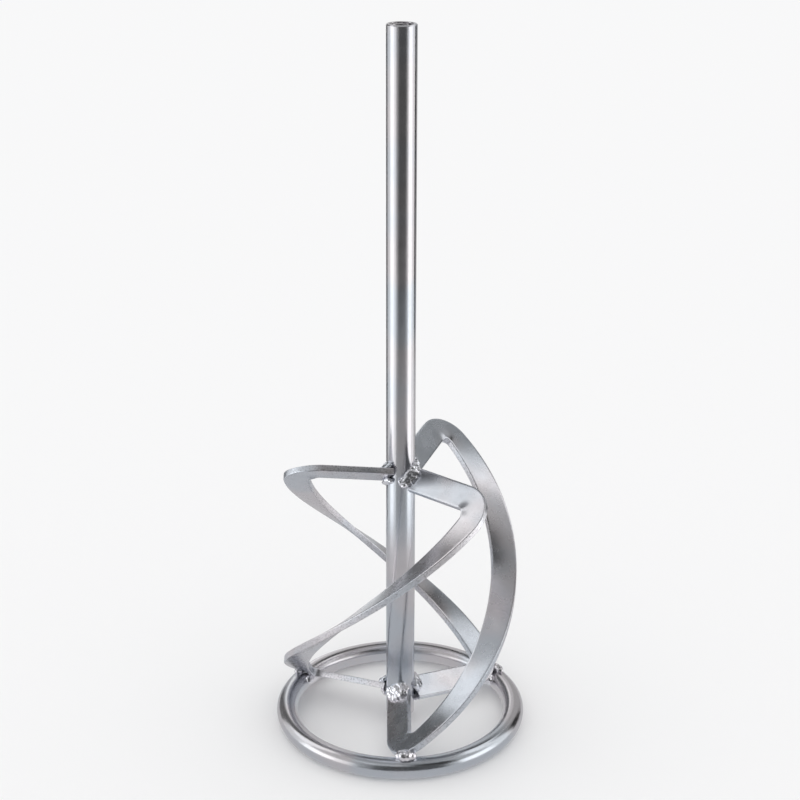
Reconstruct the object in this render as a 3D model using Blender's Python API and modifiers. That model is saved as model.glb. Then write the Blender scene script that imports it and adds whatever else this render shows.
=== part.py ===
"""Mortar mixing paddle: a round drive shaft, three flat-bar blades bent edgewise and wound
into a right-hand screw, and a round foot ring, all welded together.

Units are metres and degrees, +Z runs up the shaft, and the origin lies on the shaft's axis
at the height of the ring's underside. Run it with blender --background --python part.py.
"""

from math import atan, atan2, cos, hypot, pi, radians, sin, tan

import bmesh
import bpy
from mathutils import Matrix, Vector

MM = 0.001
GAP = 0.3 * MM  # between neighbouring solids
MERGE_DISTANCE = 0.05 * MM

# Shaft: solid round bar, chamfered at both ends, with an M14 x 2 socket in its top
SHAFT_RADIUS = 9.0 * MM
SHAFT_BOTTOM = 2.0 * MM
SHAFT_TOP = 446.0 * MM
SHAFT_CHAMFER = 0.5 * MM
FOOT_CHAMFER = 2.0 * MM
SOCKET_RADIUS = 5.9 * MM
SOCKET_DEPTH = 28.0 * MM
SOCKET_MOUTH = 1.2 * MM  # countersink that opens the socket to the thread's outer size
DRILL_POINT = 3.4 * MM  # height of the 120 degree cone at the socket's floor
SHAFT_STEPS = 40

# Foot ring: round bar bent to a circle
RING_RADIUS = 73.5 * MM  # to the middle of the bar
RING_BAR_RADIUS = 6.5 * MM
RING_STEPS = 72
RING_BAR_STEPS = 16

# Blade: one 16 x 4 mm flat bar. Turns are measured about +Z from +X, for the first blade
BAR_WIDTH = 16.0 * MM
BAR_THICKNESS = 4.0 * MM
BAR_EDGE_ROUND = 0.4 * MM
BAR_EDGE_ANGLE = 50.0  # sharper corners than this are rounded
ARM_START = 4.0 * MM  # inside the shaft, so that the end is cut to fit its round
TOP_TURN = -50.3
TOP_HEIGHT = 172.0 * MM  # of the upper arm's middle, at the shaft's surface
TOP_RISE = 0.11  # the arm's rise for each metre outwards
TOP_REACH = 74.9 * MM  # from the axis to the bar's outer edge at the upper corner
TOP_BEND = 7.3 * MM  # radius inside the upper corner
TOP_TILT = 39.5  # the upper arm's face against the horizontal
TOP_PITCH = 42.0  # the vane's slope just below the upper corner
FOOT_TURN = 152.3 - 360.0
FOOT_HEIGHT = 18.0 * MM
FOOT_DROP = 0.10
FOOT_REACH = 75.4 * MM
FOOT_BEND = 8.1 * MM
FOOT_TILT = 33.0
FOOT_PITCH = 40.0
FOOT_LEAN = 5.0  # outward roll of the bar where it meets the ring
WAIST = 2.0 * MM  # how far the vane draws in half way down
CORNER_STEPS = 9
VANE_STEPS = 30

# How each blade was set in the welding jig: turn, then shift in mm, then tilt about X and Y
TILT_HEIGHT = 100.0 * MM
BLADE_SETTINGS = {
    "blade_1": {"turn": 2.4, "shift": (2.0, 0.0, -1.4), "tilt": (2.1, 1.7)},
    "blade_2": {"turn": 118.2, "shift": (-0.1, -0.6, 1.3), "tilt": (2.5, 0.6)},
    "blade_3": {"turn": 238.8, "shift": (2.5, -3.3, 0.6), "tilt": (0.6, 0.2)},
}

# Weld beads
ARM_BEAD_RADIUS = 2.6 * MM
ARM_BEAD_SPAN = {"top": 0.85, "under": 0.55}  # of the bar's width
ARM_BEAD_LIFT = 0.25  # of the bead's radius, from the arm's face to the bead's middle
ARM_BEAD_STAND_OFF = 0.3  # of the bead's radius, from the shaft to the bead's middle
RING_BEAD_RADIUS = 3.2 * MM
RING_BEAD_STAND_OFF = 0.35  # of the bead's radius, from the ring's bar to the bead's middle
RING_BEAD_LENGTH = 15.0 * MM
RING_BEAD_SPREAD = 38.0  # degrees round the ring's bar, either side of the blade
BEAD_TAPER = (0.45, 0.85, 1.0, 1.0, 1.0, 0.85, 0.45)
BEAD_RESOLUTION = 2

STEEL = {
    "zinc_bar": ((0.62, 0.63, 0.65), 0.3),
    "zinc_round": ((0.66, 0.67, 0.69), 0.24),
    "zinc_weld": ((0.70, 0.71, 0.72), 0.2),
}


def clear_scene():
    for old in list(bpy.data.objects):
        bpy.data.objects.remove(old, do_unlink=True)


def new_collection(name):
    collection = bpy.data.collections.new(name)
    bpy.context.scene.collection.children.link(collection)
    return collection


def steel(name):
    colour, roughness = STEEL[name]
    material = bpy.data.materials.new(name)
    material.use_nodes = True
    shader = material.node_tree.nodes["Principled BSDF"]
    shader.inputs["Base Color"].default_value = (*colour, 1.0)
    shader.inputs["Metallic"].default_value = 1.0
    shader.inputs["Roughness"].default_value = roughness
    return material


def place(obj, collection, material=None):
    for old in list(obj.users_collection):
        old.objects.unlink(obj)
    collection.objects.link(obj)
    if material:
        obj.data.materials.append(material)
    return obj


def object_from_bmesh(name, bm, collection, material=None):
    mesh = bpy.data.meshes.new(name)
    bm.to_mesh(mesh)
    bm.free()
    return place(bpy.data.objects.new(name, mesh), collection, material)


def smooth_round(obj, angle=40.0):
    obj.data.shade_smooth()
    obj.data.set_sharp_from_angle(angle=radians(angle))


def as_cutter(obj):
    obj.hide_render = True
    obj.display_type = "WIRE"
    return obj


def cut(obj, cutter):
    boolean = obj.modifiers.new("cut by " + cutter.name, "BOOLEAN")
    boolean.operation = "DIFFERENCE"
    boolean.solver = "EXACT"
    boolean.object = cutter


# Shaft and ring


def build_shaft(collection, material):
    top = SHAFT_TOP
    bottom = SHAFT_BOTTOM
    floor = top - SOCKET_DEPTH
    mouth = SOCKET_RADIUS + SOCKET_MOUTH
    profile = [
        (0.0, floor - DRILL_POINT),
        (SOCKET_RADIUS, floor),
        (SOCKET_RADIUS, top - SOCKET_MOUTH),
        (mouth, top),
        (SHAFT_RADIUS - SHAFT_CHAMFER, top),
        (SHAFT_RADIUS, top - SHAFT_CHAMFER),
        (SHAFT_RADIUS, bottom + FOOT_CHAMFER),
        (SHAFT_RADIUS - FOOT_CHAMFER, bottom),
        (0.0, bottom),
    ]
    bm = bmesh.new()
    points = [bm.verts.new((radius, 0.0, height)) for radius, height in profile]
    for first, second in zip(points, points[1:]):
        bm.edges.new((first, second))
    shaft = object_from_bmesh("drive_shaft", bm, collection, material)
    screw = shaft.modifiers.new("turn", "SCREW")
    screw.steps = screw.render_steps = SHAFT_STEPS
    screw.use_merge_vertices = True
    screw.merge_threshold = MERGE_DISTANCE
    screw.use_smooth_shade = False
    return shaft


def add_torus(name, bar_radius, collection, material=None):
    bpy.ops.mesh.primitive_torus_add(
        major_radius=RING_RADIUS,
        minor_radius=bar_radius,
        major_segments=RING_STEPS,
        minor_segments=RING_BAR_STEPS,
        location=(0.0, 0.0, RING_BAR_RADIUS),
    )
    torus = bpy.context.object
    torus.name = torus.data.name = name
    smooth_round(torus)
    return place(torus, collection, material)


# Blades


def section(turn, radius, height, bend, pitch, side, lean=0.0):
    """Middle, travel and width direction of the bar where it has turned by bend degrees from
    the arm, 0, to the vane, 90. side is 1 on the upper corner and -1 on the lower one."""
    outward = Vector((cos(radians(turn)), sin(radians(turn)), 0.0))
    clockwise = Vector((sin(radians(turn)), -cos(radians(turn)), 0.0))
    fall = clockwise * cos(radians(pitch)) - Vector((0.0, 0.0, sin(radians(pitch))))
    along, across = sin(radians(bend)), cos(radians(bend))
    travel = outward * across * side + fall * along
    width = outward * along - fall * across * side
    normal = travel.cross(width)
    width = width * cos(radians(lean)) + normal * sin(radians(lean))
    return outward * radius + Vector((0.0, 0.0, height)), travel, width


def corner(step, turn, reach, bend_radius, height, slope, tilt, pitch, side, lean):
    """One section of a bent corner. step runs from 0 at the arm to 1 at the vane."""
    bend = 90.0 * step
    middle_radius = reach - BAR_WIDTH / 2
    turning = bend_radius + BAR_WIDTH / 2
    start = middle_radius - turning
    slope_here = tilt + (pitch - tilt) * sin(radians(bend)) ** 2
    down = turning * (1 - cos(radians(bend)))
    out = turning * sin(radians(bend))
    swing = down * cos(radians(slope_here)) / middle_radius * 180 / pi
    arm_height = height + side * slope * (start + out - SHAFT_RADIUS)
    return section(
        turn - side * swing,
        start + out,
        arm_height - side * down * sin(radians(slope_here)),
        bend,
        slope_here,
        side,
        lean * sin(radians(bend)) ** 2,
    )


def top_corner(step):
    return corner(
        step, TOP_TURN, TOP_REACH, TOP_BEND, TOP_HEIGHT, TOP_RISE, TOP_TILT, TOP_PITCH, 1, 0.0
    )


def foot_corner(step):
    return corner(
        step, FOOT_TURN, FOOT_REACH, FOOT_BEND, FOOT_HEIGHT, FOOT_DROP, FOOT_TILT, FOOT_PITCH,
        -1, FOOT_LEAN,
    )


def polar(point):
    return atan2(point.y, point.x) * 180 / pi, hypot(point.x, point.y), point.z


def vane_section(share, upper, lower):
    """Section of the vane at a share of its run from the upper corner to the lower one."""
    (turn_1, radius_1, height_1), (turn_2, radius_2, height_2) = upper, lower
    run = radians(turn_1 - turn_2)
    fall_1 = -tan(radians(TOP_PITCH)) * radius_1 * run
    fall_2 = -tan(radians(FOOT_PITCH)) * radius_2 * run
    s = share
    height = (
        (2 * s**3 - 3 * s**2 + 1) * height_1
        + (s**3 - 2 * s**2 + s) * fall_1
        + (3 * s**2 - 2 * s**3) * height_2
        + (s**3 - s**2) * fall_2
    )
    fall = (
        6 * (s**2 - s) * (height_1 - height_2)
        + (3 * s**2 - 4 * s + 1) * fall_1
        + (3 * s**2 - 2 * s) * fall_2
    )
    ease = 3 * s**2 - 2 * s**3
    radius = radius_1 + (radius_2 - radius_1) * ease - WAIST * 16 * (s * (1 - s)) ** 2
    pitch = atan(-fall / (run * radius)) * 180 / pi
    late = max(0.0, 2 * s - 1)
    lean = FOOT_LEAN * (3 * late**2 - 2 * late**3)
    return section(turn_1 - (turn_1 - turn_2) * s, radius, height, 90.0, pitch, 1, lean)


def arm_sections(turn, height, slope, tilt, side, end):
    """Two sections of a straight arm, from inside the shaft to just before its corner."""
    return [
        section(turn, radius, height + side * slope * (radius - SHAFT_RADIUS), 0.0, tilt, side)
        for radius in (ARM_START, ARM_START + (end - ARM_START) / 2)
    ]


def blade_sections():
    upper = [top_corner(i / CORNER_STEPS) for i in range(CORNER_STEPS + 1)]
    lower = [foot_corner(i / CORNER_STEPS) for i in range(CORNER_STEPS, -1, -1)]
    turn_1, radius_1, height_1 = polar(upper[-1][0])
    turn_2, radius_2, height_2 = polar(lower[0][0])
    while turn_2 > turn_1:
        turn_2 -= 360.0
    vane = [
        vane_section(i / VANE_STEPS, (turn_1, radius_1, height_1), (turn_2, radius_2, height_2))
        for i in range(1, VANE_STEPS)
    ]
    top_end = hypot(upper[0][0].x, upper[0][0].y)
    foot_end = hypot(lower[-1][0].x, lower[-1][0].y)
    top_arm = arm_sections(TOP_TURN, TOP_HEIGHT, TOP_RISE, TOP_TILT, 1, top_end)
    foot_arm = arm_sections(FOOT_TURN, FOOT_HEIGHT, FOOT_DROP, FOOT_TILT, -1, foot_end)
    return top_arm + upper + vane + lower + foot_arm[::-1]


def setting_matrix(setting):
    tilt_x, tilt_y = setting["tilt"]
    pivot = Vector((0.0, 0.0, TILT_HEIGHT))
    return (
        Matrix.Translation(Vector(setting["shift"]) * MM + pivot)
        @ Matrix.Rotation(radians(tilt_y), 4, "Y")
        @ Matrix.Rotation(radians(tilt_x), 4, "X")
        @ Matrix.Translation(-pivot)
        @ Matrix.Rotation(radians(setting["turn"]), 4, "Z")
    )


def placed_sections(setting):
    matrix = setting_matrix(setting)
    turn = matrix.to_3x3()
    return [
        (matrix @ middle, turn @ travel, turn @ width)
        for middle, travel, width in blade_sections()
    ]


def bar_strip(name, sections, width, thickness, collection, material=None):
    """The bar as an open strip through its sections, given its thickness by Solidify."""
    bm = bmesh.new()
    rows = []
    for middle, _, across in sections:
        rows.append([bm.verts.new(middle + across * width / 2 * edge) for edge in (1, -1)])
    for (a, b), (c, d) in zip(rows, rows[1:]):
        bm.faces.new((a, b, d, c))
    strip = object_from_bmesh(name, bm, collection, material)
    solidify = strip.modifiers.new("bar thickness", "SOLIDIFY")
    solidify.thickness = thickness
    solidify.offset = 0.0
    solidify.use_even_offset = True
    return strip


def build_blade(name, sections, shaft_cutter, collection, material):
    blade = bar_strip(name, sections, BAR_WIDTH, BAR_THICKNESS, collection, material)
    rounding = blade.modifiers.new("rolled edges", "BEVEL")
    rounding.width = BAR_EDGE_ROUND
    rounding.segments = 1
    rounding.limit_method = "ANGLE"
    rounding.angle_limit = radians(BAR_EDGE_ANGLE)
    cut(blade, shaft_cutter)
    return blade


# Weld beads


def tapered_tube(name, points, radius, collection, material):
    """A short run of weld metal along points, thinner at its two ends, as a closed mesh."""
    curve = bpy.data.curves.new(name, "CURVE")
    curve.dimensions = "3D"
    curve.bevel_depth = radius
    curve.bevel_resolution = BEAD_RESOLUTION
    curve.use_fill_caps = True
    spline = curve.splines.new("POLY")
    spline.points.add(len(points) - 1)
    for spot, point, share in zip(spline.points, points, BEAD_TAPER):
        spot.co = (*point, 1.0)
        spot.radius = share
    guide = place(bpy.data.objects.new(name + "_route", curve), collection)
    bpy.context.view_layer.update()
    depsgraph = bpy.context.evaluated_depsgraph_get()
    mesh = bpy.data.meshes.new_from_object(guide.evaluated_get(depsgraph))
    bm = bmesh.new()
    bm.from_mesh(mesh)
    bmesh.ops.remove_doubles(bm, verts=bm.verts, dist=MERGE_DISTANCE)
    bm.to_mesh(mesh)
    bm.free()
    bead = bpy.data.objects.new(name, mesh)
    bead.matrix_world = guide.matrix_world
    bpy.data.objects.remove(guide, do_unlink=True)
    bpy.data.curves.remove(curve)
    mesh.materials.clear()
    return place(bead, collection, material)


def spread(count=len(BEAD_TAPER)):
    """Shares from -1 to 1 for the points of one bead."""
    return [2 * i / (count - 1) - 1 for i in range(count)]


def arm_bead_points(arm, face, span):
    """Points along the joint between the shaft and one face, 1 or -1, of an arm."""
    middle, travel, across = arm
    normal = travel.cross(across) * face
    if travel.dot(Vector((middle.x, middle.y, 0.0))) < 0:
        travel = -travel
    lift = BAR_THICKNESS / 2 + GAP + ARM_BEAD_RADIUS * ARM_BEAD_LIFT
    stand_off = SHAFT_RADIUS + GAP + ARM_BEAD_RADIUS * ARM_BEAD_STAND_OFF
    points = []
    for share in spread():
        foot = middle + across * share * span * BAR_WIDTH / 2 + normal * lift
        # slide along the arm until the point stands the same way off the shaft's axis
        flat = Vector((foot.x, foot.y))
        step = Vector((travel.x, travel.y))
        half = flat.dot(step) / step.length_squared
        rest = (flat.length_squared - stand_off**2) / step.length_squared
        slide = -half + max(0.0, half * half - rest) ** 0.5
        points.append(foot + travel * slide)
    return points


def ring_contact(sections):
    """Turn about the axis, and round the ring's bar, of the blade's nearest point to it."""
    best = None
    for middle, travel, across in sections:
        normal = travel.cross(across)
        for edge in (1, 0, -1):
            for face in (1, -1):
                point = middle + across * edge * BAR_WIDTH / 2 + normal * face * BAR_THICKNESS / 2
                turn, radius, height = polar(point)
                distance = hypot(radius - RING_RADIUS, height - RING_BAR_RADIUS)
                if best is None or distance < best[0]:
                    best = (distance, turn, atan2(height - RING_BAR_RADIUS, radius - RING_RADIUS))
    return best[1], best[2] * 180 / pi


def ring_bead_points(turn, around):
    """Points along the ring, on its bar's surface at the angle around, centred on turn."""
    stand_off = RING_BAR_RADIUS + GAP + RING_BEAD_RADIUS * RING_BEAD_STAND_OFF
    radius = RING_RADIUS + stand_off * cos(radians(around))
    height = RING_BAR_RADIUS + stand_off * sin(radians(around))
    points = []
    for share in spread():
        angle = radians(turn) + share * RING_BEAD_LENGTH / 2 / radius
        points.append(Vector((radius * cos(angle), radius * sin(angle), height)))
    return points


def main():
    clear_scene()
    parts = new_collection("mortar_mixing_paddle")
    cutters = new_collection("cutters")
    bar, rounds, weld = (steel(name) for name in ("zinc_bar", "zinc_round", "zinc_weld"))

    build_shaft(parts, rounds)
    add_torus("foot_ring", RING_BAR_RADIUS, parts, rounds)

    bpy.ops.mesh.primitive_cylinder_add(
        vertices=SHAFT_STEPS, radius=SHAFT_RADIUS + GAP, depth=2 * SHAFT_TOP
    )
    shaft_cutter = as_cutter(place(bpy.context.object, cutters))
    shaft_cutter.name = "shaft_clearance"
    ring_cutter = as_cutter(add_torus("ring_clearance", RING_BAR_RADIUS + GAP, cutters))

    clearances = []
    for name, setting in BLADE_SETTINGS.items():
        sections = placed_sections(setting)
        build_blade(name, sections, shaft_cutter, parts, bar)
        clearance = bar_strip(
            f"{name}_clearance", sections, BAR_WIDTH + 2 * GAP, BAR_THICKNESS + 2 * GAP, cutters
        )
        clearances.append(as_cutter(clearance))

    for number, setting in enumerate(BLADE_SETTINGS.values(), 1):
        sections = placed_sections(setting)
        beads = {}
        for place_name, arm in (("upper", sections[0]), ("lower", sections[-1])):
            for face_name, face in (("top", 1), ("under", -1)):
                beads[f"{place_name}_weld_{number}_{face_name}"] = (
                    arm_bead_points(arm, face, ARM_BEAD_SPAN[face_name]),
                    ARM_BEAD_RADIUS,
                    shaft_cutter,
                )
        turn, around = ring_contact(sections)
        for side_name, side in (("outer", -1), ("inner", 1)):
            beads[f"ring_weld_{number}_{side_name}"] = (
                ring_bead_points(turn, around + side * RING_BEAD_SPREAD),
                RING_BEAD_RADIUS,
                ring_cutter,
            )
        for bead_name, (points, radius, base_cutter) in beads.items():
            bead = tapered_tube(bead_name, points, radius, parts, weld)
            for cutter in (base_cutter, *clearances):
                cut(bead, cutter)


main()
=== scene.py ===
from math import atan, atan2, cos, degrees, hypot, pi, radians, sin, tan

import bmesh
import bpy
from mathutils import Matrix, Vector


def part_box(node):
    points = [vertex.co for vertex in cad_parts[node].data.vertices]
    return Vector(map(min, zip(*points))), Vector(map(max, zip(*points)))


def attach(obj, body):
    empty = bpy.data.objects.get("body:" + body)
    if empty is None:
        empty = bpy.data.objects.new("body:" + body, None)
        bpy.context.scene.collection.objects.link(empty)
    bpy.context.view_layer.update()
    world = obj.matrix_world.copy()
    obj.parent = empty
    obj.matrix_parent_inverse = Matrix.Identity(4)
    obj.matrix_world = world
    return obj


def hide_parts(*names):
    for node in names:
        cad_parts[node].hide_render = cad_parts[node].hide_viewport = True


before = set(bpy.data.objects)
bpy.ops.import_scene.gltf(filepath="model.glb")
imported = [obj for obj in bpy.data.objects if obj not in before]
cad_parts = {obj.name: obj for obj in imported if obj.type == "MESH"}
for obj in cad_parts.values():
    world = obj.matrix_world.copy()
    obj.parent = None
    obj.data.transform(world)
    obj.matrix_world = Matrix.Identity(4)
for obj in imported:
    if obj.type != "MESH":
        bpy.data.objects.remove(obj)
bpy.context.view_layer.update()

mm = 0.001
onlyBody = "root"        # one rigid weldment, nothing on it moves

shaftLow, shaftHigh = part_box("drive_shaft")
ringLow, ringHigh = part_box("foot_ring")
shaftRadius = (shaftHigh.x - shaftLow.x) / 2
ringBarRadius = (ringHigh.z - ringLow.z) / 2
ringRadius = (ringHigh.x - ringLow.x) / 2 - ringBarRadius
print("frame loaded: shaft radius", round(shaftRadius / mm, 2), "mm, ring", round(ringRadius / mm, 2), "mm")


# small helpers

def showObject(name, data):
    obj = bpy.data.objects.new(name, data)
    bpy.context.scene.collection.objects.link(obj)
    return obj


def meshObject(name, bm, material=None):
    mesh = bpy.data.meshes.new(name)
    bm.to_mesh(mesh)
    bm.free()
    if material:
        mesh.materials.append(material)
    return showObject(name, mesh)


def finishPiece(piece, slotName, *nodes):
    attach(piece, onlyBody)
    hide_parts(*nodes)


def addNode(tree, kind, feeds=None, **settings):     # feeds: socket name or number -> socket or value
    node = tree.nodes.new(kind)
    for key, value in settings.items():
        setattr(node, key, value)
    for key, feed in (feeds or {}).items():
        if isinstance(feed, bpy.types.NodeSocket):
            tree.links.new(feed, node.inputs[key])
        else:
            node.inputs[key].default_value = feed
    return node


def calc(tree, operation, *values):
    return addNode(tree, "ShaderNodeMath", dict(enumerate(values)), operation=operation).outputs[0]


def vectorCalc(tree, operation, *values, scale=None):
    feeds = dict(enumerate(values))
    if scale is not None:
        feeds["Scale"] = scale
    return addNode(tree, "ShaderNodeVectorMath", feeds, operation=operation).outputs["Vector"]


def withSign(tree, amount, like):
    return calc(tree, "MULTIPLY", amount, calc(tree, "SIGN", like))


def ramp(tree, value, low, high, start=0.0, end=1.0):     # smooth step from start to end
    feeds = {"Value": value, "From Min": low, "From Max": high, "To Min": start, "To Max": end}
    return addNode(tree, "ShaderNodeMapRange", feeds, interpolation_type="SMOOTHSTEP").outputs["Result"]


def noise(tree, vector, scale, detail=2.0, roughness=0.5, seed=0.0):
    feeds = {"Vector": vector, "W": seed, "Scale": scale, "Detail": detail, "Roughness": roughness}
    return addNode(tree, "ShaderNodeTexNoise", feeds, noise_dimensions="4D").outputs[0]


def centredNoise(tree, *values, **settings):
    return calc(tree, "SUBTRACT", noise(tree, *values, **settings), 0.5)


# Geometry Nodes helpers

def newTree(name, look, others):     # sockets: the guide's geometry, the look's values, others by type
    tree = bpy.data.node_groups.new(name, "GeometryNodeTree")
    tree.interface.new_socket("Geometry", in_out="INPUT", socket_type="NodeSocketGeometry")
    tree.interface.new_socket("Geometry", in_out="OUTPUT", socket_type="NodeSocketGeometry")
    kinds = {label: "Int" if isinstance(value, int) else "Float" for label, value in look.items()}
    for label, kind in {**kinds, **others}.items():
        tree.interface.new_socket(label, in_out="INPUT", socket_type="NodeSocket" + kind)
    return tree, tree.nodes.new("NodeGroupInput").outputs


def store(tree, geometry, name, value, kind="FLOAT"):
    feeds = {"Geometry": geometry, "Name": name, "Value": value}
    node = addNode(tree, "GeometryNodeStoreNamedAttribute", feeds, data_type=kind, domain="POINT")
    return node.outputs["Geometry"]


def recall(tree, name, kind="FLOAT"):
    node = addNode(tree, "GeometryNodeInputNamedAttribute", {"Name": name}, data_type=kind)
    return node.outputs["Attribute"]


def closeTree(tree, geometry, material):     # every tree ends in Realize Instances and Set Material
    real = addNode(tree, "GeometryNodeRealizeInstances", {"Geometry": geometry})
    dressed = addNode(tree, "GeometryNodeSetMaterial", {"Geometry": real.outputs[0], "Material": material})
    out = addNode(tree, "NodeGroupOutput", {"Geometry": dressed.outputs[0]})
    out.is_active_output = True


def growPiece(guide, tree, values):      # runs the tree on the guide and keeps the result as a plain mesh
    modifier = guide.modifiers.new(tree.name, "NODES")
    modifier.node_group = tree
    for item in tree.interface.items_tree:
        if item.in_out == "INPUT" and item.name in values:
            modifier[item.identifier] = values[item.name]
    guide.update_tag()
    bpy.context.view_layer.update()
    depsgraph = bpy.context.evaluated_depsgraph_get()
    mesh = bpy.data.meshes.new_from_object(guide.evaluated_get(depsgraph), depsgraph=depsgraph)
    mesh.name = guide.name
    guide.modifiers.remove(modifier)
    guide.data = mesh
    mesh.shade_smooth()
    return guide


def guideLine(name, points, attributes):     # a polyline mesh with vector or float attributes
    mesh = bpy.data.meshes.new(name)
    mesh.from_pydata(points, [(i, i + 1) for i in range(len(points) - 1)], [])
    for label, values in attributes.items():
        isVector = isinstance(values[0], Vector)
        layer = mesh.attributes.new(label, "FLOAT_VECTOR" if isVector else "FLOAT", "POINT")
        for slot, value in zip(layer.data, values):
            if isVector:
                slot.vector = value
            else:
                slot.value = value
    return showObject(name, mesh)


# materials: bright zinc plating on steel

zincLook = {
    "coolTint": (0.60, 0.635, 0.685, 1.0),
    "warmTint": (0.68, 0.655, 0.675, 1.0),
    "tintSize": 45 * mm,
    "tintBand": (0.38, 0.62),     # bands: the values of a noise over which its effect comes in
    "speckSize": 1.3 * mm,
    "blotchSize": 9 * mm,
    "blotchBand": (0.3, 0.7),
    "streakStrength": 0.06,
    "streakDepth": 0.01 * mm,
}
barFinish = {
    "roughness": 0.22,
    "blotchRoughness": 0.07,
    "edgeRoughness": 0.08,
    "shade": 1.02,
    "speckShade": 0.04,
    "speckBand": (0.35, 0.8),
    "streaks": (60.0, 1400.0),    # per metre along and across the bar
    # the cut edges' tone, lifted above the faces' as a painted highlight
    "edgeToneWithPaintedHighlight": 1.25,
    "tornShade": 0.5,
    "tornBand": (0.45, 0.7),
    "tears": 1100.0,              # per metre
    "tearStrength": 0.35,
    "tearDepth": 0.2 * mm,
}
roundFinish = {
    "roughness": 0.20,
    "blotchRoughness": 0.05,
    "shade": 1.01,
    "speckShade": 0.03,
    "speckBand": (0.4, 0.8),
    "streaks": (900.0, 900.0, 25.0),      # per metre
}
weldFinish = {
    "roughness": 0.12,
    "pitRoughness": 0.15,
    # raised above the bars' tone: a painted highlight on the weld metal
    "shade": 1.35,
    "pitShade": 0.5,
    "pitBand": (0.5, 0.75),
    "pitSize": 2.2 * mm,
    "pitStrength": 0.25,
    "pitDepth": 0.2 * mm,
}


def startMaterial(name, tintSeed):
    material = bpy.data.materials.new(name)
    material.use_nodes = True
    tree = material.node_tree
    shader = tree.nodes["Principled BSDF"]
    shader.inputs["Metallic"].default_value = 1.0
    place = addNode(tree, "ShaderNodeTexCoord").outputs["Object"]
    drift = noise(tree, place, 1 / zincLook["tintSize"], seed=tintSeed)
    tint = addNode(tree, "ShaderNodeMix", {
        0: ramp(tree, drift, *zincLook["tintBand"]), 6: zincLook["coolTint"], 7: zincLook["warmTint"],
    }, data_type="RGBA")
    return material, tree, shader, place, tint.outputs[2]


def speckAndBlotch(tree, place, seed):
    speck = noise(tree, place, 1 / zincLook["speckSize"], roughness=0.55, seed=seed)
    blotch = noise(tree, place, 1 / zincLook["blotchSize"], detail=3.0, roughness=0.55, seed=seed + 1)
    return speck, ramp(tree, blotch, *zincLook["blotchBand"])


def shadeLess(tree, shade, pattern, band, loss):      # a shade that drops where the pattern is high
    return calc(tree, "SUBTRACT", shade, calc(tree, "MULTIPLY", ramp(tree, pattern, *band), loss))


def shadedTint(tree, tint, shade):
    grey = addNode(tree, "ShaderNodeCombineColor", {0: shade, 1: shade, 2: shade}).outputs[0]
    feeds = {0: 1.0, 6: tint, 7: grey}
    return addNode(tree, "ShaderNodeMix", feeds, data_type="RGBA", blend_type="MULTIPLY").outputs[2]


def addBump(tree, shader, height, strength, depth, earlier=None):
    feeds = {"Strength": strength, "Distance": depth, "Height": height}
    if earlier:
        feeds["Normal"] = earlier
    bump = addNode(tree, "ShaderNodeBump", feeds)
    tree.links.new(bump.outputs[0], shader.inputs["Normal"])
    return bump.outputs[0]


def barSteel():          # flat bar: satin rolled faces, torn cut edges whose lighter tone is a painted highlight
    look = barFinish
    material, tree, shader, place, tint = startMaterial("zincBar", 1.0)
    along, spread, cutEdge = [
        addNode(tree, "ShaderNodeAttribute", attribute_name=name).outputs["Fac"]
        for name in ("along", "spread", "cutEdge")
    ]
    speck, blotch = speckAndBlotch(tree, place, 2.0)
    flow = addNode(tree, "ShaderNodeCombineXYZ", {
        "X": calc(tree, "MULTIPLY", along, look["streaks"][0]),
        "Y": calc(tree, "MULTIPLY", spread, look["streaks"][1]),
    }).outputs[0]
    streak = noise(tree, flow, 1.0, detail=3.0, roughness=0.6, seed=4.0)
    tear = addNode(tree, "ShaderNodeMapping", {"Vector": place, "Scale": (look["tears"],) * 3}).outputs[0]
    torn = noise(tree, tear, 1.0, roughness=0.6, seed=5.0)
    rough = calc(tree, "ADD", calc(tree, "MULTIPLY", blotch, look["blotchRoughness"]), look["roughness"])
    rough = calc(tree, "ADD", rough, calc(tree, "MULTIPLY", cutEdge, look["edgeRoughness"]))
    tree.links.new(rough, shader.inputs["Roughness"])
    faceShade = shadeLess(tree, look["shade"], speck, look["speckBand"], look["speckShade"])
    # cut edges: a painted highlight, darkened where the torn pattern is high (real torn scale)
    edgeToneWithPaintedHighlight = shadeLess(tree, look["edgeToneWithPaintedHighlight"], torn, look["tornBand"], look["tornShade"])
    shade = addNode(tree, "ShaderNodeMix", {0: cutEdge, 2: faceShade, 3: edgeToneWithPaintedHighlight}, data_type="FLOAT")
    tree.links.new(shadedTint(tree, tint, shade.outputs[0]), shader.inputs["Base Color"])
    grain = addBump(tree, shader, streak, zincLook["streakStrength"], zincLook["streakDepth"])
    tear = calc(tree, "MULTIPLY", torn, cutEdge)
    addBump(tree, shader, tear, look["tearStrength"], look["tearDepth"], grain)
    return material


def roundSteel():        # drawn round bar: smoother, with faint marks along the shaft
    look = roundFinish
    material, tree, shader, place, tint = startMaterial("zincRound", 6.0)
    speck, blotch = speckAndBlotch(tree, place, 7.0)
    drawn = addNode(tree, "ShaderNodeMapping", {"Vector": place, "Scale": look["streaks"]}).outputs[0]
    streak = noise(tree, drawn, 1.0, seed=9.0)
    rough = calc(tree, "ADD", calc(tree, "MULTIPLY", blotch, look["blotchRoughness"]), look["roughness"])
    tree.links.new(rough, shader.inputs["Roughness"])
    shade = shadeLess(tree, look["shade"], speck, look["speckBand"], look["speckShade"])
    tree.links.new(shadedTint(tree, tint, shade), shader.inputs["Base Color"])
    addBump(tree, shader, streak, zincLook["streakStrength"], zincLook["streakDepth"])
    return material


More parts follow.
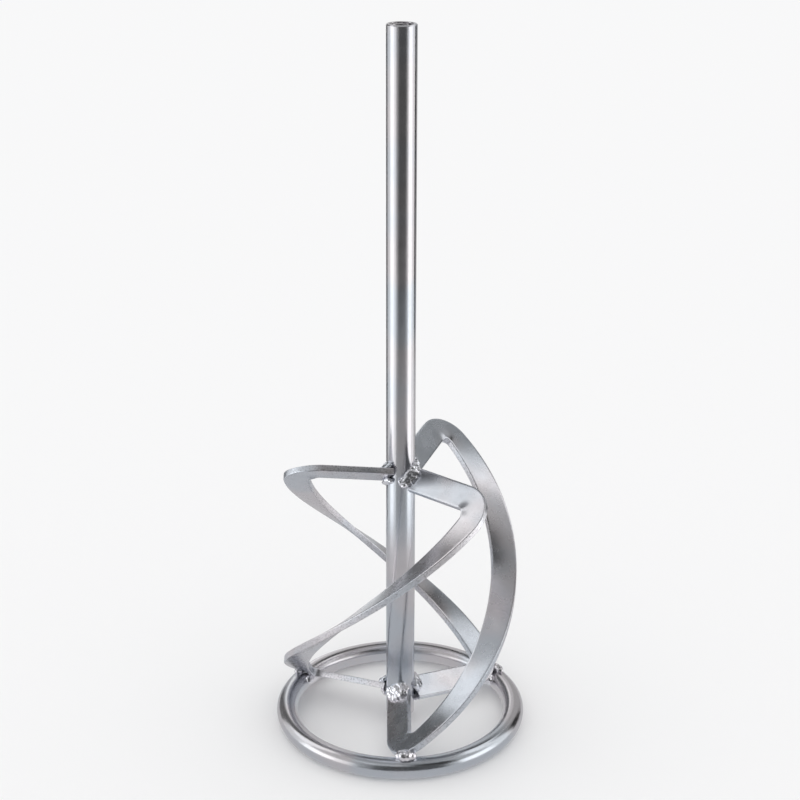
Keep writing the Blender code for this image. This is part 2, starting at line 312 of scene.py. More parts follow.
def weldSteel():         # weld metal under plating: a tone raised as a painted highlight, with dark pits
    look = weldFinish
    material, tree, shader, place, tint = startMaterial("zincWeld", 10.0)
    pit = noise(tree, place, 1 / look["pitSize"], seed=11.0)
    rough = calc(tree, "ADD", look["roughness"], calc(tree, "MULTIPLY", pit, look["pitRoughness"]))
    tree.links.new(rough, shader.inputs["Roughness"])
    # the weld's tone: a painted highlight, dropped where the pit pattern is high
    shade = shadeLess(tree, look["shade"], pit, look["pitBand"], look["pitShade"])
    tree.links.new(shadedTint(tree, tint, shade), shader.inputs["Base Color"])
    addBump(tree, shader, pit, look["pitStrength"], look["pitDepth"])
    return material


barMetal, roundMetal, weldMetal = barSteel(), roundSteel(), weldSteel()
print("materials made")


# drive shaft, with its threaded socket

shaft = {
    "chamfer": 0.5 * mm,
    "footChamfer": 2.0 * mm,
    "socketRadius": 5.9 * mm,
    "socketDepth": 28 * mm,
    "mouthRadius": 7.1 * mm,
    "drillPoint": 3.4 * mm,
    "threadRadius": 7.0 * mm,
    "threadPitch": 2.0 * mm,
    "threadLength": 24 * mm,
    "threadRows": 14,         # rows of faces in one pitch
    "grooveWidth": 1.25,      # this and the next shape the blunt thread profile
    "grooveSteepness": 3.2,
    "steps": 96,
    "rowLength": 3 * mm,
    "sharpAngle": 35.0,
}


def threadRadius(angle, depth):      # the bore, at a turn about the axis and a depth below the shaft's end
    phase = (depth / shaft["threadPitch"] + angle / (2 * pi)) % 1.0
    groove = min(1.0, max(0.0, shaft["grooveWidth"] - abs(phase - 0.5) * shaft["grooveSteepness"]))
    fade = min(1.0, max(0.0, (shaft["threadLength"] - depth) / shaft["threadPitch"]))
    bore = shaft["socketRadius"] + (shaft["threadRadius"] - shaft["socketRadius"]) * groove * fade
    return max(bore, shaft["mouthRadius"] - depth)      # the countersink's 45 degree cone


def buildShaft():
    top, bottom = shaftHigh.z, shaftLow.z
    edge, foot = shaft["chamfer"], shaft["footChamfer"]
    rows = round(shaft["threadLength"] / shaft["threadPitch"] * shaft["threadRows"])
    depths = [shaft["threadLength"] * i / rows for i in range(rows + 1)]
    count = round((top - bottom) / shaft["rowLength"])
    wall = [top - edge + (bottom + foot - top + edge) * i / count for i in range(count + 1)]
    bm = bmesh.new()
    columns = []
    for step in range(shaft["steps"]):
        angle = 2 * pi * step / shaft["steps"]
        profile = [(shaft["socketRadius"], top - shaft["socketDepth"])]
        profile += [(threadRadius(angle, depth), top - depth) for depth in reversed(depths)]
        profile += [(shaftRadius - edge, top)]
        profile += [(shaftRadius, height) for height in wall]
        profile += [(shaftRadius - foot, bottom)]
        columns.append([
            bm.verts.new((radius * cos(angle), radius * sin(angle), height)) for radius, height in profile
        ])
    socketFloor = bm.verts.new((0, 0, top - shaft["socketDepth"] - shaft["drillPoint"]))
    footMiddle = bm.verts.new((0, 0, bottom))
    for here, there in zip(columns, columns[1:] + columns[:1]):
        bm.faces.new((socketFloor, there[0], here[0]))
        bm.faces.new((footMiddle, here[-1], there[-1]))
        for row in range(len(here) - 1):
            bm.faces.new((here[row], there[row], there[row + 1], here[row + 1]))
    bmesh.ops.recalc_face_normals(bm, faces=bm.faces)
    piece = meshObject("driveShaft", bm, roundMetal)
    piece.data.shade_smooth()
    piece.data.set_sharp_from_angle(angle=radians(shaft["sharpAngle"]))
    finishPiece(piece, "zinc_round", "drive_shaft")


buildShaft()
print("shaft turned and threaded")


# foot ring

ring = {
    "steps": 288,
    "barSteps": 40,
    "wobble": 0.12 * mm,      # how far the bent bar wanders in and out
    "wobbleCount": 7,
    "swellCount": 2,          # how often the wobble comes and goes
    "swellPhase": 0.7,
}


def buildRing():
    bm = bmesh.new()
    loops = []
    for step in range(ring["steps"]):
        turn = 2 * pi * step / ring["steps"]
        swell = sin(ring["swellCount"] * turn + ring["swellPhase"])
        wander = ring["wobble"] * sin(ring["wobbleCount"] * turn) * swell
        loop = []
        for barStep in range(ring["barSteps"]):
            around = 2 * pi * barStep / ring["barSteps"]
            radius = ringRadius - ring["wobble"] + wander + ringBarRadius * cos(around)
            height = ringBarRadius + ringBarRadius * sin(around)
            loop.append(bm.verts.new((radius * cos(turn), radius * sin(turn), height)))
        loops.append(loop)
    for here, there in zip(loops, loops[1:] + loops[:1]):
        for i in range(ring["barSteps"]):
            j = (i + 1) % ring["barSteps"]
            bm.faces.new((here[i], there[i], there[j], here[j]))
    bmesh.ops.recalc_face_normals(bm, faces=bm.faces)
    piece = meshObject("footRing", bm, roundMetal)
    piece.data.shade_smooth()
    finishPiece(piece, "zinc_round", "foot_ring")


buildRing()
print("ring bent")


# blades: one flat bar, bent edgewise at two corners, and wound as a right-hand screw between them

bar = {
    "width": 16 * mm,
    "thickness": 4 * mm,
    "armStart": 8.0 * mm,     # from the axis, just inside the shaft's wall
    "shaftGap": 0.25 * mm,    # left clear all round the shaft
    "gapSteps": 128,
    "waist": 2.0 * mm,        # how far the vane draws in half way down
    "cornerSteps": 36,
    "vaneSteps": 140,
    "pinchStart": -0.1,       # of half the width, where the inside of a bend begins to thicken
    "mergeDistance": 0.001 * mm,
    "seedStep": 3.7,
}
# the vane's two ends: side is 1 at the upper arm and -1 at the lower, angles are in degrees
topEnd = {
    "side": 1, "turn": -50.3, "height": 172 * mm, "slope": 0.11, "reach": 74.9 * mm,
    "bendRadius": 7.3 * mm, "tilt": 39.5, "pitch": 42.0, "lean": 0.0,
}
footEnd = {
    "side": -1, "turn": 152.3 - 360, "height": 18 * mm, "slope": 0.10, "reach": 75.4 * mm,
    "bendRadius": 8.1 * mm, "tilt": 33.0, "pitch": 40.0, "lean": 5.0,
}
jigHeight = 100 * mm
jigSettings = [       # how each blade sat in the welding jig: turn, shift in mm, tilt about X and Y
    {"turn": 2.4, "shift": (2.0, 0.0, -1.4), "tilt": (2.1, 1.7)},
    {"turn": 118.2, "shift": (-0.1, -0.6, 1.3), "tilt": (2.5, 0.6)},
    {"turn": 238.8, "shift": (2.5, -3.3, 0.6), "tilt": (0.6, 0.2)},
]


def barSection(turn, radius, height, bend, pitch, side, lean=0.0):   # a row: middle, travel, width, pinch
    outward = Vector((cos(radians(turn)), sin(radians(turn)), 0.0))
    clockwise = Vector((sin(radians(turn)), -cos(radians(turn)), 0.0))
    fall = clockwise * cos(radians(pitch)) - Vector((0.0, 0.0, sin(radians(pitch))))
    along, across = sin(radians(bend)), cos(radians(bend))
    travel = outward * across * side + fall * along
    width = outward * along - fall * across * side
    normal = travel.cross(width)
    width = width * cos(radians(lean)) + normal * sin(radians(lean))
    return outward * radius + Vector((0.0, 0.0, height)), travel, width, sin(radians(2 * bend)) ** 2


def armHeight(end, radius):
    return end["height"] + end["side"] * end["slope"] * (radius - shaftRadius)


def cornerSection(step, end):     # step 0 is the arm's end of the corner, step 1 the vane's
    bend = 90.0 * step
    middleRadius = end["reach"] - bar["width"] / 2
    turning = end["bendRadius"] + bar["width"] / 2
    start = middleRadius - turning
    slopeHere = end["tilt"] + (end["pitch"] - end["tilt"]) * sin(radians(bend)) ** 2
    down = turning * (1 - cos(radians(bend)))
    out = turning * sin(radians(bend))
    swing = degrees(down * cos(radians(slopeHere)) / middleRadius)
    height = armHeight(end, start + out) - end["side"] * down * sin(radians(slopeHere))
    lean = end["lean"] * sin(radians(bend)) ** 2
    turn = end["turn"] - end["side"] * swing
    return barSection(turn, start + out, height, bend, slopeHere, end["side"], lean)


def polar(point):
    return degrees(atan2(point.y, point.x)), hypot(point.x, point.y), point.z


def vaneSection(s, upper, lower):    # s runs from 0 at the upper corner to 1 at the lower one
    run = radians(upper[0] - lower[0])
    fallTop = -tan(radians(topEnd["pitch"])) * upper[1] * run
    fallFoot = -tan(radians(footEnd["pitch"])) * lower[1] * run
    ease = 3 * s**2 - 2 * s**3
    height = (upper[2] + (lower[2] - upper[2]) * ease
              + (s**3 - 2 * s**2 + s) * fallTop + (s**3 - s**2) * fallFoot)
    fall = (6 * (s**2 - s) * (upper[2] - lower[2])
            + (3 * s**2 - 4 * s + 1) * fallTop + (3 * s**2 - 2 * s) * fallFoot)
    drawIn = 16 * (s * (1 - s)) ** 2      # 0 at both corners, 1 half way
    radius = upper[1] + (lower[1] - upper[1]) * ease - bar["waist"] * drawIn
    late = max(0.0, 2 * s - 1)
    lean = footEnd["lean"] * (3 * late**2 - 2 * late**3)
    pitch = degrees(atan(-fall / (run * radius)))
    return barSection(upper[0] - (upper[0] - lower[0]) * s, radius, height, 90.0, pitch, 1, lean)


def armSections(end, armEnd):        # two rows: the arm's start, and half way to the corner
    return [
        barSection(end["turn"], radius, armHeight(end, radius), 0.0, end["tilt"], end["side"])
        for radius in (bar["armStart"], (bar["armStart"] + armEnd) / 2)
    ]


def bladeSections():
    steps = bar["cornerSteps"]
    upper = [cornerSection(i / steps, topEnd) for i in range(steps + 1)]
    lower = [cornerSection(i / steps, footEnd) for i in range(steps, -1, -1)]
    vaneTop, vaneFoot = polar(upper[-1][0]), polar(lower[0][0])
    while vaneFoot[0] > vaneTop[0]:
        vaneFoot = (vaneFoot[0] - 360.0, *vaneFoot[1:])
    vane = [vaneSection(i / bar["vaneSteps"], vaneTop, vaneFoot) for i in range(1, bar["vaneSteps"])]
    topArm = armSections(topEnd, upper[0][0].xy.length)
    footArm = armSections(footEnd, lower[-1][0].xy.length)
    return topArm + upper + vane + lower + footArm[::-1]


def jigMatrix(setting):
    tiltX, tiltY = setting["tilt"]
    pivot = Vector((0.0, 0.0, jigHeight))
    return (
        Matrix.Translation(Vector(setting["shift"]) * mm + pivot)
        @ Matrix.Rotation(radians(tiltY), 4, "Y")
        @ Matrix.Rotation(radians(tiltX), 4, "X")
        @ Matrix.Translation(-pivot)
        @ Matrix.Rotation(radians(setting["turn"]), 4, "Z")
    )


def placedSections(setting):
    matrix = jigMatrix(setting)
    turn = matrix.to_3x3()
    return [
        (matrix @ middle, turn @ travel, turn @ width, pinch)
        for middle, travel, width, pinch in bladeSections()
    ]


bladeLook = {
    "Bar Width": bar["width"],
    "Bar Thickness": bar["thickness"],
    "Edge Round": 0.45 * mm,
    "Row Length": 0.4 * mm,
    "Side Cuts": 10,
    "Tear Height": 0.22 * mm,     # of the cut edges
    "Tear Length": 0.9 * mm,
    "Face Wave": 0.06 * mm,
    "Face Wave Length": 16 * mm,
    "Pinch Swell": 0.38,          # how much the bar thickens inside a bend
    "Pinch Thinning": 0.10,       # and how much it thins outside
    "Pinch Crumple": 0.5 * mm,
    "Crumple Size": 3.0 * mm,
    "Crumple Focus": 5.0,         # higher keeps the crumple nearer to the inner edge
}


def bladeTree():
    tree, size = newTree("bentBar", bladeLook, {"Seed": "Float", "Material": "Material"})
    # the route, with its place kept on every row
    line = addNode(tree, "GeometryNodeMeshToCurve", {"Mesh": size["Geometry"]}).outputs[0]
    feeds = {"Curve": line, "Length": size["Row Length"]}
    rows = addNode(tree, "GeometryNodeResampleCurve", feeds, mode="LENGTH").outputs[0]
    position = addNode(tree, "GeometryNodeInputPosition").outputs[0]
    route = store(tree, rows, "spine", position, "FLOAT_VECTOR")
    travelled = addNode(tree, "GeometryNodeSplineParameter").outputs["Length"]
    route = store(tree, route, "along", travelled)
    # the bar's outline as a square of side 2, brought to size on the swept mesh
    square = addNode(tree, "GeometryNodeCurvePrimitiveQuadrilateral", {"Width": 2.0, "Height": 2.0})
    feeds = {"Curve": square.outputs[0], "Cuts": size["Side Cuts"]}
    outline = addNode(tree, "GeometryNodeSubdivideCurve", feeds).outputs[0]
    outline = store(tree, outline, "cell", position, "FLOAT_VECTOR")
    feeds = {"Curve": route, "Profile Curve": outline, "Fill Caps": True}
    swept = addNode(tree, "GeometryNodeCurveToMesh", feeds).outputs[0]
    cell = addNode(tree, "ShaderNodeSeparateXYZ", {0: recall(tree, "cell", "FLOAT_VECTOR")}).outputs

    def eased(value):      # points crowd towards the corners of the outline
        amount = calc(tree, "ABSOLUTE", value)
        cube = calc(tree, "MULTIPLY", calc(tree, "POWER", amount, 3.0), 0.5)
        return withSign(tree, calc(tree, "SUBTRACT", calc(tree, "MULTIPLY", amount, 1.5), cube), value)

    # a rectangle with rounded corners: a core, and what reaches over it pulled in to the rounding
    halfWidth = calc(tree, "MULTIPLY", size["Bar Width"], 0.5)
    halfThick = calc(tree, "MULTIPLY", size["Bar Thickness"], 0.5)
    side, face = eased(cell[0]), eased(cell[1])
    wide = calc(tree, "MULTIPLY", calc(tree, "ABSOLUTE", side), halfWidth)
    thick = calc(tree, "MULTIPLY", calc(tree, "ABSOLUTE", face), halfThick)
    coreWide = calc(tree, "SUBTRACT", halfWidth, size["Edge Round"])
    coreThick = calc(tree, "SUBTRACT", halfThick, size["Edge Round"])
    overWide = calc(tree, "MAXIMUM", calc(tree, "SUBTRACT", wide, coreWide), 0.0)
    overThick = calc(tree, "MAXIMUM", calc(tree, "SUBTRACT", thick, coreThick), 0.0)
    reach = calc(tree, "SQRT", calc(tree, "ADD", calc(tree, "MULTIPLY", overWide, overWide),
                                    calc(tree, "MULTIPLY", overThick, overThick)))
    pull = calc(tree, "DIVIDE", size["Edge Round"], calc(tree, "MAXIMUM", reach, size["Edge Round"]))
    overWide, overThick = calc(tree, "MULTIPLY", overWide, pull), calc(tree, "MULTIPLY", overThick, pull)
    wide = calc(tree, "ADD", calc(tree, "MINIMUM", wide, coreWide), overWide)
    thick = calc(tree, "ADD", calc(tree, "MINIMUM", thick, coreThick), overThick)
    cutEdge = ramp(tree, wide, coreWide, halfWidth)

    # bends squeeze the bar's inner side
    along = recall(tree, "along")
    pinch = recall(tree, "pinch")
    inner = ramp(tree, calc(tree, "MULTIPLY", side, -1.0), bar["pinchStart"], 1.0)
    outer = ramp(tree, side, 0.0, 1.0)
    swell = calc(tree, "SUBTRACT", calc(tree, "MULTIPLY", inner, size["Pinch Swell"]),
                 calc(tree, "MULTIPLY", outer, size["Pinch Thinning"]))
    thick = calc(tree, "MULTIPLY", thick, calc(tree, "ADD", 1.0, calc(tree, "MULTIPLY", swell, pinch)))

    # torn cut edges, wavy faces, crumpled inner bends
    spine = recall(tree, "spine", "FLOAT_VECTOR")
    across = recall(tree, "across", "FLOAT_VECTOR")
    facing = recall(tree, "facing", "FLOAT_VECTOR")
    spread = withSign(tree, wide, cell[0])
    depth = withSign(tree, thick, cell[1])
    tearPlace = addNode(tree, "ShaderNodeCombineXYZ", {
        "X": calc(tree, "DIVIDE", along, size["Tear Length"]),
        "Y": calc(tree, "DIVIDE", depth, size["Tear Length"]),
        "Z": calc(tree, "SIGN", cell[0]),
    }).outputs[0]
    tear = centredNoise(tree, tearPlace, 1.0, roughness=0.6, seed=size["Seed"])
    tear = calc(tree, "MULTIPLY", calc(tree, "MULTIPLY", tear, size["Tear Height"]), cutEdge)
    middle = vectorCalc(tree, "ADD", spine, vectorCalc(tree, "SCALE", across, scale=spread))
    flat = vectorCalc(tree, "ADD", middle, vectorCalc(tree, "SCALE", facing, scale=depth))
    waveScale = calc(tree, "DIVIDE", 1.0, size["Face Wave Length"])
    wave = centredNoise(tree, middle, waveScale, seed=size["Seed"])
    wave = calc(tree, "MULTIPLY", wave, size["Face Wave"])
    crumpleScale = calc(tree, "DIVIDE", 1.0, size["Crumple Size"])
    crumple = centredNoise(tree, flat, crumpleScale, roughness=0.55, seed=size["Seed"])
    crumple = calc(tree, "MULTIPLY", calc(tree, "MULTIPLY", crumple, size["Pinch Crumple"]),
                   calc(tree, "MULTIPLY", pinch, calc(tree, "POWER", inner, size["Crumple Focus"])))
    outwards = withSign(tree, calc(tree, "ADD", tear, crumple), cell[0])
    outwards = calc(tree, "MULTIPLY", outwards, cutEdge)
    lifted = calc(tree, "ADD", wave, withSign(tree, crumple, cell[1]))
    place = vectorCalc(tree, "ADD", flat, vectorCalc(tree, "SCALE", across, scale=outwards))
    place = vectorCalc(tree, "ADD", place, vectorCalc(tree, "SCALE", facing, scale=lifted))
    shaped = store(tree, swept, "spread", spread)
    shaped = store(tree, shaped, "cutEdge", cutEdge)
    shaped = addNode(tree, "GeometryNodeSetPosition", {"Geometry": shaped, "Position": place}).outputs[0]
    for name in ("spine", "cell", "across", "facing", "pinch"):
        shaped = addNode(tree, "GeometryNodeRemoveAttribute", {"Geometry": shaped, "Name": name}).outputs[0]
    closeTree(tree, shaped, size["Material"])
    return tree


def shaftClearance():       # cutter that ends the arms just short of the shaft
    radius = shaftRadius + bar["shaftGap"]
    bm = bmesh.new()
    bmesh.ops.create_cone(bm, cap_ends=True, segments=bar["gapSteps"], radius1=radius, radius2=radius,
                          depth=2 * shaftHigh.z)
    return meshObject("shaftClearance", bm)


def cutAway(piece, cutter):      # cuts, then clears the two-faced slivers that the cut leaves
    boolean = piece.modifiers.new("cut", "BOOLEAN")
    boolean.operation = "DIFFERENCE"
    boolean.solver = "MANIFOLD"
    boolean.object = cutter
    depsgraph = bpy.context.evaluated_depsgraph_get()
    mesh = bpy.data.meshes.new_from_object(piece.evaluated_get(depsgraph), depsgraph=depsgraph)
    piece.modifiers.remove(boolean)
    bm = bmesh.new()
    bm.from_mesh(mesh)
    bmesh.ops.remove_doubles(bm, verts=bm.verts, dist=bar["mergeDistance"])
    bmesh.ops.triangulate(bm, faces=[face for face in bm.faces if len(face.verts) > 4])
    sameCorners = {}
    for face in bm.faces:
        sameCorners.setdefault(frozenset(face.verts), []).append(face)
    slivers = [face for faces in sameCorners.values() if len(faces) > 1 for face in faces]
    bmesh.ops.delete(bm, geom=slivers, context="FACES")
    bm.to_mesh(mesh)
    bm.free()
    piece.data = mesh


def buildBlades():
    tree = bladeTree()
    cutter = shaftClearance()
    for number, setting in enumerate(jigSettings, 1):
        sections = placedSections(setting)
        guide = guideLine(f"blade{number}", [section[0] for section in sections], {
            "across": [section[2] for section in sections],
            "facing": [section[1].cross(section[2]) for section in sections],
            "pinch": [section[3] for section in sections],
        })
        seed = bar["seedStep"] * number
        piece = growPiece(guide, tree, {**bladeLook, "Seed": seed, "Material": barMetal})
        cutAway(piece, cutter)
        finishPiece(piece, "zinc_bar", f"blade_{number}")
        print("blade", number, "bent,", len(piece.data.polygons), "faces")
    bpy.data.objects.remove(cutter, do_unlink=True)


buildBlades()


# weld beads

armBead = {
    "radius": {"upperTop": 2.3 * mm, "upperUnder": 1.8 * mm, "lowerTop": 2.4 * mm, "lowerUnder": 1.9 * mm},
    # weave: how far the bead swings between the shaft and the arm
    "weave": {"upperTop": 2.5 * mm, "upperUnder": 1.0 * mm, "lowerTop": 3.5 * mm, "lowerUnder": 1.4 * mm},
    "span": {"top": 1.0, "under": 0.75},      # of the bar's width
    "reach": 0.8,             # of the shaft's radius, as far as the bead goes to either side
    "lift": 0.7,              # of the bead's radius, off the arm's face
    "standOff": 0.7,          # of the bead's radius, off the shaft
}
ringBead = {
    # radius by blade number
    "radius": {"outer": (2.6 * mm, 3.5 * mm, 2.3 * mm), "inner": (3.0 * mm, 2.8 * mm, 3.6 * mm)},
    "weave": 0.8 * mm,
    "length": 9 * mm,
    "spread": 38.0,           # degrees round the ring's bar, either side of the blade
    "standOff": 0.35,         # of the bead's radius, off the ring
}
beadTaper = (0.70, 0.90, 1.0, 1.0, 1.0, 0.90, 0.70)      # share of the radius along a bead
beadGap = 0.3 * mm            # between a bead's route and the bars, before lift and stand-off
swellSeedShift = 17.0         # keeps a drop's size apart from its place
weldLook = {
    "Spacing": 0.35 * mm,
    "Weave Pitch": 2.8 * mm,  # from one ripple to the next
    "Wander": 0.25 * mm,
    "Size Change": 0.08,
    "Voxel": 0.25 * mm,
    "Threshold": 0.5,
    "Smoothing": 8,
    "Crumple Height": 1.2 * mm,
    "Crumple Size": 4.0 * mm,
}


def weldTree():
    tree, size = newTree("weldBead", weldLook, {
        "Bead Radius": "Float", "Weave Width": "Float", "Seed": "Int", "Material": "Material",
    })
    # drops along the route, swung from side to side
    line = addNode(tree, "GeometryNodeMeshToCurve", {"Mesh": size["Geometry"]}).outputs[0]
    feeds = {"Curve": line, "Length": size["Spacing"]}
    drops = addNode(tree, "GeometryNodeResampleCurve", feeds, mode="LENGTH").outputs[0]
    travelled = addNode(tree, "GeometryNodeSplineParameter").outputs["Length"]
    phase = calc(tree, "DIVIDE", calc(tree, "MULTIPLY", travelled, 2 * pi), size["Weave Pitch"])
    wave = calc(tree, "SINE", calc(tree, "ADD", phase, size["Seed"]))
    swing = calc(tree, "MULTIPLY", calc(tree, "MULTIPLY", wave, size["Weave Width"]), recall(tree, "taper"))
    swing = vectorCalc(tree, "SCALE", recall(tree, "sway", "FLOAT_VECTOR"), scale=swing)
    woven = addNode(tree, "GeometryNodeSetPosition", {"Geometry": drops, "Offset": swing}).outputs[0]
    points = addNode(tree, "GeometryNodeCurveToPoints", {"Curve": woven}, mode="EVALUATED").outputs[0]
    # each drop a little off its place and size
    feeds = {"Min": (-1.0, -1.0, -1.0), "Max": (1.0, 1.0, 1.0), "Seed": size["Seed"]}
    shove = addNode(tree, "FunctionNodeRandomValue", feeds, data_type="FLOAT_VECTOR").outputs[0]
    offset = vectorCalc(tree, "SCALE", shove, scale=size["Wander"])
    points = addNode(tree, "GeometryNodeSetPosition", {"Geometry": points, "Offset": offset}).outputs[0]
    feeds = {2: -1.0, "Seed": calc(tree, "ADD", size["Seed"], swellSeedShift)}
    swell = addNode(tree, "FunctionNodeRandomValue", feeds, data_type="FLOAT").outputs[1]
    change = calc(tree, "ADD", 1.0, calc(tree, "MULTIPLY", swell, size["Size Change"]))
    radius = calc(tree, "MULTIPLY", recall(tree, "taper"), size["Bead Radius"])
    radius = calc(tree, "MULTIPLY", radius, change)
    # the drops run together into one skin
    feeds = {"Points": points, "Radius": radius, "Voxel Size": size["Voxel"]}
    cloud = addNode(tree, "GeometryNodePointsToVolume", feeds, resolution_mode="VOXEL_SIZE").outputs[0]
    feeds = {"Volume": cloud, "Threshold": size["Threshold"]}
    skin = addNode(tree, "GeometryNodeVolumeToMesh", feeds).outputs[0]
    position = addNode(tree, "GeometryNodeInputPosition").outputs[0]
    feeds = {"Value": position, "Iterations": size["Smoothing"]}
    blur = addNode(tree, "GeometryNodeBlurAttribute", feeds, data_type="FLOAT_VECTOR").outputs[0]
    soft = addNode(tree, "GeometryNodeSetPosition", {"Geometry": skin, "Position": blur}).outputs[0]
    crumpleScale = calc(tree, "DIVIDE", 1.0, size["Crumple Size"])
    crumple = centredNoise(tree, position, crumpleScale, roughness=0.6, seed=size["Seed"])
    crumple = calc(tree, "MULTIPLY", crumple, size["Crumple Height"])
    normal = addNode(tree, "GeometryNodeInputNormal").outputs[0]
    push = vectorCalc(tree, "SCALE", normal, scale=crumple)
    rough = addNode(tree, "GeometryNodeSetPosition", {"Geometry": soft, "Offset": push}).outputs[0]
    closeTree(tree, rough, size["Material"])
    return tree


def beadShares():        # from -1 to 1, one for each value of the taper
    return [2 * i / (len(beadTaper) - 1) - 1 for i in range(len(beadTaper))]


def armBeadRoute(arm, face, span, size):      # where the shaft meets one face of an arm
    middle, travel, across, _ = arm
    normal = travel.cross(across) * face
    if travel.dot(Vector((middle.x, middle.y, 0.0))) < 0:
        travel = -travel      # outwards
    lift = bar["thickness"] / 2 + beadGap + size * armBead["lift"]
    standOff = shaftRadius + beadGap + size * armBead["standOff"]
    level = travel.xy.normalized()
    limit = shaftRadius * armBead["reach"]
    points = []
    for share in beadShares():
        foot = middle + across * share * span * bar["width"] / 2 + normal * lift
        aside = foot.xy.cross(level)
        foot -= across * (aside - max(-limit, min(limit, aside))) / across.xy.cross(level)
        half = foot.xy.dot(travel.xy) / travel.xy.length_squared
        rest = (foot.xy.length_squared - standOff**2) / travel.xy.length_squared
        points.append(foot + travel * (-half + max(0.0, half * half - rest) ** 0.5))
    return points, [(travel - normal).normalized()] * len(points)


def ringContact(sections):       # where on the ring a blade comes nearest
    best = None
    for middle, travel, across, _ in sections:
        normal = travel.cross(across)
        for edge in (1, 0, -1):
            for face in (1, -1):
                point = middle + across * edge * bar["width"] / 2 + normal * face * bar["thickness"] / 2
                turn, radius, height = polar(point)
                distance = hypot(radius - ringRadius, height - ringBarRadius)
                if best is None or distance < best[0]:
                    best = (distance, turn, degrees(atan2(height - ringBarRadius, radius - ringRadius)))
    return best[1], best[2]


def ringBeadRoute(turn, around, size):
    standOff = ringBarRadius + beadGap + size * ringBead["standOff"]
    radius = ringRadius + standOff * cos(radians(around))
    height = ringBarRadius + standOff * sin(radians(around))
    points, sways = [], []
    for share in beadShares():
        angle = radians(turn) + share * ringBead["length"] / 2 / radius
        points.append(Vector((radius * cos(angle), radius * sin(angle), height)))
        outward = Vector((cos(angle), sin(angle), 0.0))
        sways.append(Vector((0.0, 0.0, cos(radians(around)))) - outward * sin(radians(around)))
    return points, sways


def buildWelds():
    tree = weldTree()
    seed = 0
    for number, setting in enumerate(jigSettings, 1):
        sections = placedSections(setting)
        routes = {}
        for placeName, arm in (("upper", sections[0]), ("lower", sections[-1])):
            for faceName, face in (("top", 1), ("under", -1)):
                spot = placeName + faceName.title()
                size = armBead["radius"][spot]
                route = armBeadRoute(arm, face, armBead["span"][faceName], size)
                routes[f"{placeName}_weld_{number}_{faceName}"] = (*route, size, armBead["weave"][spot])
        turn, around = ringContact(sections)
        for sideName, side in (("outer", -1), ("inner", 1)):
            size = ringBead["radius"][sideName][number - 1]
            route = ringBeadRoute(turn, around + side * ringBead["spread"], size)
            routes[f"ring_weld_{number}_{sideName}"] = (*route, size, ringBead["weave"])
        for nodeName, (points, sways, radius, weave) in routes.items():
            seed += 1
            first, *others = nodeName.split("_")
            name = first + "".join(word.title() for word in others)
            guide = guideLine(name, points, {"taper": beadTaper, "sway": sways})
            own = {"Bead Radius": radius, "Weave Width": weave, "Seed": seed, "Material": weldMetal}
            piece = growPiece(guide, tree, {**weldLook, **own})
            finishPiece(piece, "zinc_weld", nodeName)
    print("weld beads laid:", seed)


buildWelds()


# studio: a pale floor and softboxes that reach below it, because the metal mirrors a smaller table instead

studio = {
    "floorSize": 60.0,
    "floorColour": (0.94, 0.94, 0.945, 1.0),
    "worldColour": (1.0, 1.0, 1.0, 1.0),
    "tableColour": (0.62, 0.62, 0.63, 1.0),
    "tableRadius": 0.3,
    "tableSteps": 96,
    "floorDrop": 0.05 * mm,   # below the paddle, so that no faces share a plane
    "tableDrop": 0.1 * mm,
    "roughness": 0.8,
    "distance": 1.0,          # from the paddle to each softbox
}
softboxes = {         # azimuth from the camera's side, degrees wide, lowest and highest point, brightness
    "leftRear": (-108.0, 34.0, -0.85, 0.50, 0.65),
    "leftRearHigh": (-108.0, 34.0, 0.50, 1.90, 1.00),
    "left": (-74.0, 34.0, -0.85, 0.50, 1.30),
    "leftHigh": (-66.0, 52.0, 0.50, 1.90, 0.45),
    "leftFront": (-48.0, 18.0, -0.85, 0.50, 0.85),
    "frontLow": (0.0, 80.0, -0.85, -0.10, 0.30),
    "frontLeft": (-31.0, 16.0, -0.10, 1.05, 0.28),
    "frontMiddle": (8.0, 62.0, -0.10, 1.05, 0.07),
    "frontHigh": (-14.0, 50.0, 1.05, 1.90, 0.50),
    "rightFront": (46.0, 14.0, -0.85, 0.50, 0.40),
    "right": (70.0, 34.0, -0.85, 0.50, 1.30),
    "rightHigh": (70.0, 34.0, 0.50, 1.90, 0.40),
    "rightRear": (100.0, 26.0, -0.85, 1.05, 0.80),
    "rightRearTop": (111.0, 48.0, 1.05, 1.90, 1.00),
    "backRightLow": (137.0, 56.0, -0.85, -0.10, 0.50),
    "backRightHigh": (124.0, 22.0, 0.50, 1.05, 0.22),
    "backRight": (152.0, 34.0, -0.10, 1.05, 0.34),
    "back": (184.0, 30.0, -0.85, 1.05, 0.50),
    "backLeft": (-162.0, 18.0, -0.85, 1.05, 0.35),
    "backLeftDim": (-140.0, 26.0, -0.85, 1.05, 0.10),
}
overhead = {"height": 1.9, "size": 1.9, "brightness": 0.30}


def plainMaterial(name, colour):
    material = bpy.data.materials.new(name)
    material.use_nodes = True
    shader = material.node_tree.nodes["Principled BSDF"]
    shader.inputs["Base Color"].default_value = colour
    shader.inputs["Roughness"].default_value = studio["roughness"]
    shader.inputs["Specular IOR Level"].default_value = 0.0
    return material


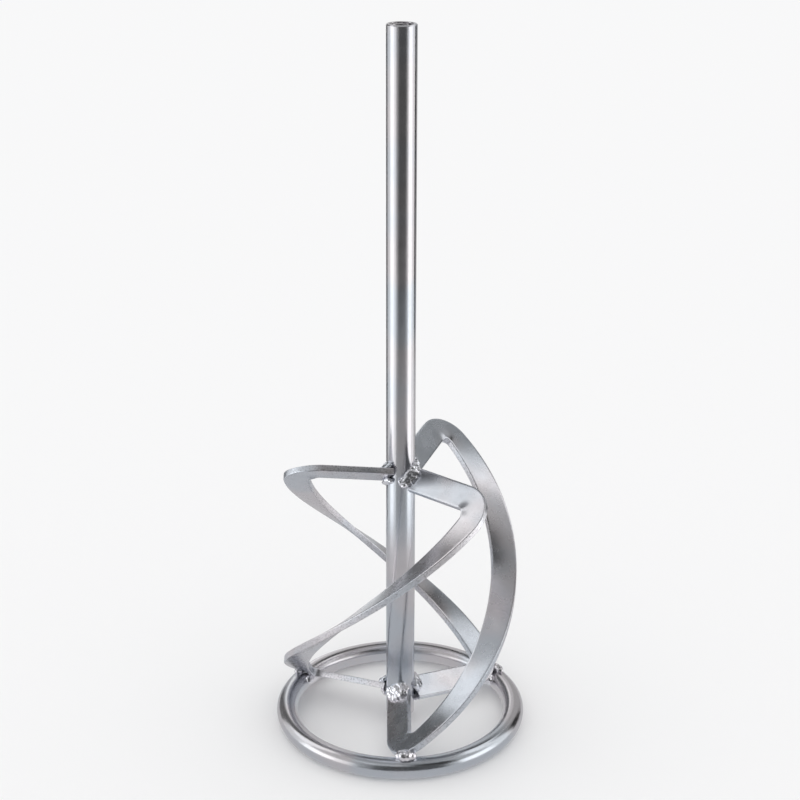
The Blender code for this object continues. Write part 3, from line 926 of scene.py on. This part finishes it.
def buildFloor():
    bm = bmesh.new()
    bmesh.ops.create_grid(bm, x_segments=1, y_segments=1, size=studio["floorSize"] / 2)
    floor = meshObject("floor", bm, plainMaterial("paleFloor", studio["floorColour"]))
    floor.location.z = -studio["floorDrop"]
    floor.visible_glossy = False
    bm = bmesh.new()
    bmesh.ops.create_circle(bm, cap_ends=True, segments=studio["tableSteps"], radius=studio["tableRadius"])
    table = meshObject("mirroredTable", bm, plainMaterial("greyTable", studio["tableColour"]))
    table.location.z = -studio["tableDrop"]
    table.visible_camera = table.visible_diffuse = table.visible_shadow = False


def addLight(name, place, aim, width, height, brightness):
    data = bpy.data.lights.new(name, "AREA")
    data.shape = "RECTANGLE"
    data.size, data.size_y = width, height
    data.energy = 4 * width * height * brightness      # watts for that radiance
    light = showObject(name, data)
    light.location = place
    light.rotation_mode = "QUATERNION"
    light.rotation_quaternion = (aim - place).to_track_quat("-Z", "Y")
    light.visible_camera = light.visible_diffuse = False


def buildLights():
    far = studio["distance"]
    for name, (azimuth, spread, low, high, brightness) in softboxes.items():
        turn = radians(azimuth)
        place = Vector((far * sin(turn), -far * cos(turn), (low + high) / 2))
        width = 2 * far * tan(radians(spread / 2))
        addLight(name, place, Vector((0.0, 0.0, place.z)), width, high - low, brightness)
    place, size = Vector((0.0, 0.0, overhead["height"])), overhead["size"]
    addLight("overhead", place, Vector((0.0, 0.0, 0.0)), size, size, overhead["brightness"])


def buildWorld():
    world = bpy.data.worlds.new("studio")
    bpy.context.scene.world = world
    world.use_nodes = True
    world.node_tree.nodes["Background"].inputs["Color"].default_value = studio["worldColour"]
    world.cycles_visibility.glossy = False


camera = {
    "place": (0.0, -1.0, 0.60403),
    "tiltDown": 21.03,
    "turn": 0.03,
    "roll": 0.13,
    "sensor": 36.0,
    "lens": 79.37,
    "clip": (0.01, 100.0),
}


def buildCamera():
    data = bpy.data.cameras.new("camera")
    data.sensor_width = camera["sensor"]
    data.lens = camera["lens"]
    data.clip_start, data.clip_end = camera["clip"]
    holder = showObject("camera", data)
    holder.matrix_world = (
        Matrix.Translation(camera["place"])
        @ Matrix.Rotation(radians(camera["turn"]), 4, "Z")
        @ Matrix.Rotation(radians(90.0 - camera["tiltDown"]), 4, "X")
        @ Matrix.Rotation(radians(camera["roll"]), 4, "Z")
    )
    bpy.context.scene.camera = holder


buildFloor()
buildLights()
buildWorld()
buildCamera()
bpy.context.scene.view_settings.view_transform = "Standard"
print("studio set")
